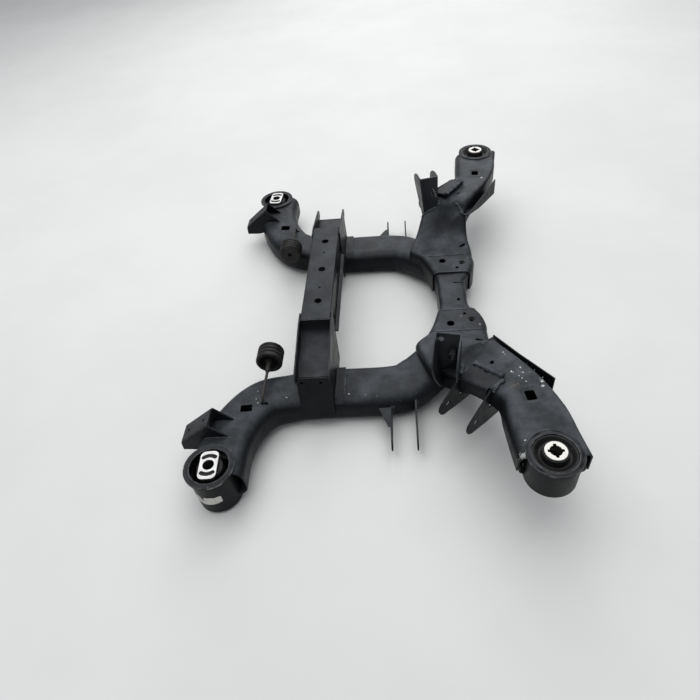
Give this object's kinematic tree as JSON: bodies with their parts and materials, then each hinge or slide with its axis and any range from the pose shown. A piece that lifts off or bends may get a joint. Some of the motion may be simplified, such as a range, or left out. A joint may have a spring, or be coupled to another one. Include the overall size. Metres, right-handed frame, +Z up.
{
  "type": "car rear subframe",
  "caption": "Black welded rear subframe of a large car, with hollow side tubes, a bolted cross beam, a swept crossmember with raised arms and body mounting bushes.",
  "frame": {"origin": "middle of the subframe's box, on the plane of the side tubes' flat undersides", "axes": "+X runs from the slotted bushes to the round bushes, +Y is the left side (the long way across the car), +Z is up when the part is mounted"},
  "size_m": [0.7385, 1.139, 0.2322],
  "materials": {
    "black_coating": "satin black dip coating, scratched, with rust specks and dust",
    "rubber": "matt black rubber, dusty",
    "bare_alloy": "pale, dull, with white powdery corrosion",
    "rusty_steel": "bare steel with brown rust"
  },
  "bodies": {
    "root": {"arm_clevis_left": "black_coating", "arm_clevis_right": "black_coating", "arm_lower_left": "black_coating", "arm_lower_right": "black_coating", "arm_upper_left": "black_coating", "arm_upper_right": "black_coating", "beam_bracket_floor_left": "black_coating", "beam_bracket_floor_right": "black_coating", "beam_bracket_left": "black_coating", "beam_bracket_right": "black_coating", "cross_beam": "black_coating", "crossmember_end_left": "black_coating", "crossmember_end_right": "black_coating", "crossmember_lower": "black_coating", "crossmember_middle": "black_coating", "front_link_bracket_left": "black_coating", "front_link_bracket_right": "black_coating", "guard_plate_left": "black_coating", "guard_plate_right": "black_coating", "hanger_rod_left": "rusty_steel", "hanger_rod_right": "rusty_steel", "hanger_rubber_left": "rubber", "hanger_rubber_right": "rubber", "lower_link_ear_flanged_left": "black_coating", "lower_link_ear_flanged_right": "black_coating", "lower_link_ear_plain_left": "black_coating", "lower_link_ear_plain_right": "black_coating", "round_bush_can_left": "black_coating", "round_bush_can_right": "black_coating", "round_bush_rubber_left": "rubber", "round_bush_rubber_right": "rubber", "round_bush_sleeve_left": "bare_alloy", "round_bush_sleeve_right": "bare_alloy", "side_tube_left": "black_coating", "side_tube_right": "black_coating", "slotted_bush_can_left": "black_coating", "slotted_bush_can_right": "black_coating", "slotted_bush_core_left": "bare_alloy", "slotted_bush_core_right": "bare_alloy", "slotted_bush_rubber_left": "rubber", "slotted_bush_rubber_right": "rubber", "upper_link_bracket_left": "black_coating", "upper_link_bracket_right": "black_coating", "weld_nut_left": "rusty_steel", "weld_nut_right": "rusty_steel"}
  },
  "joints": []
}
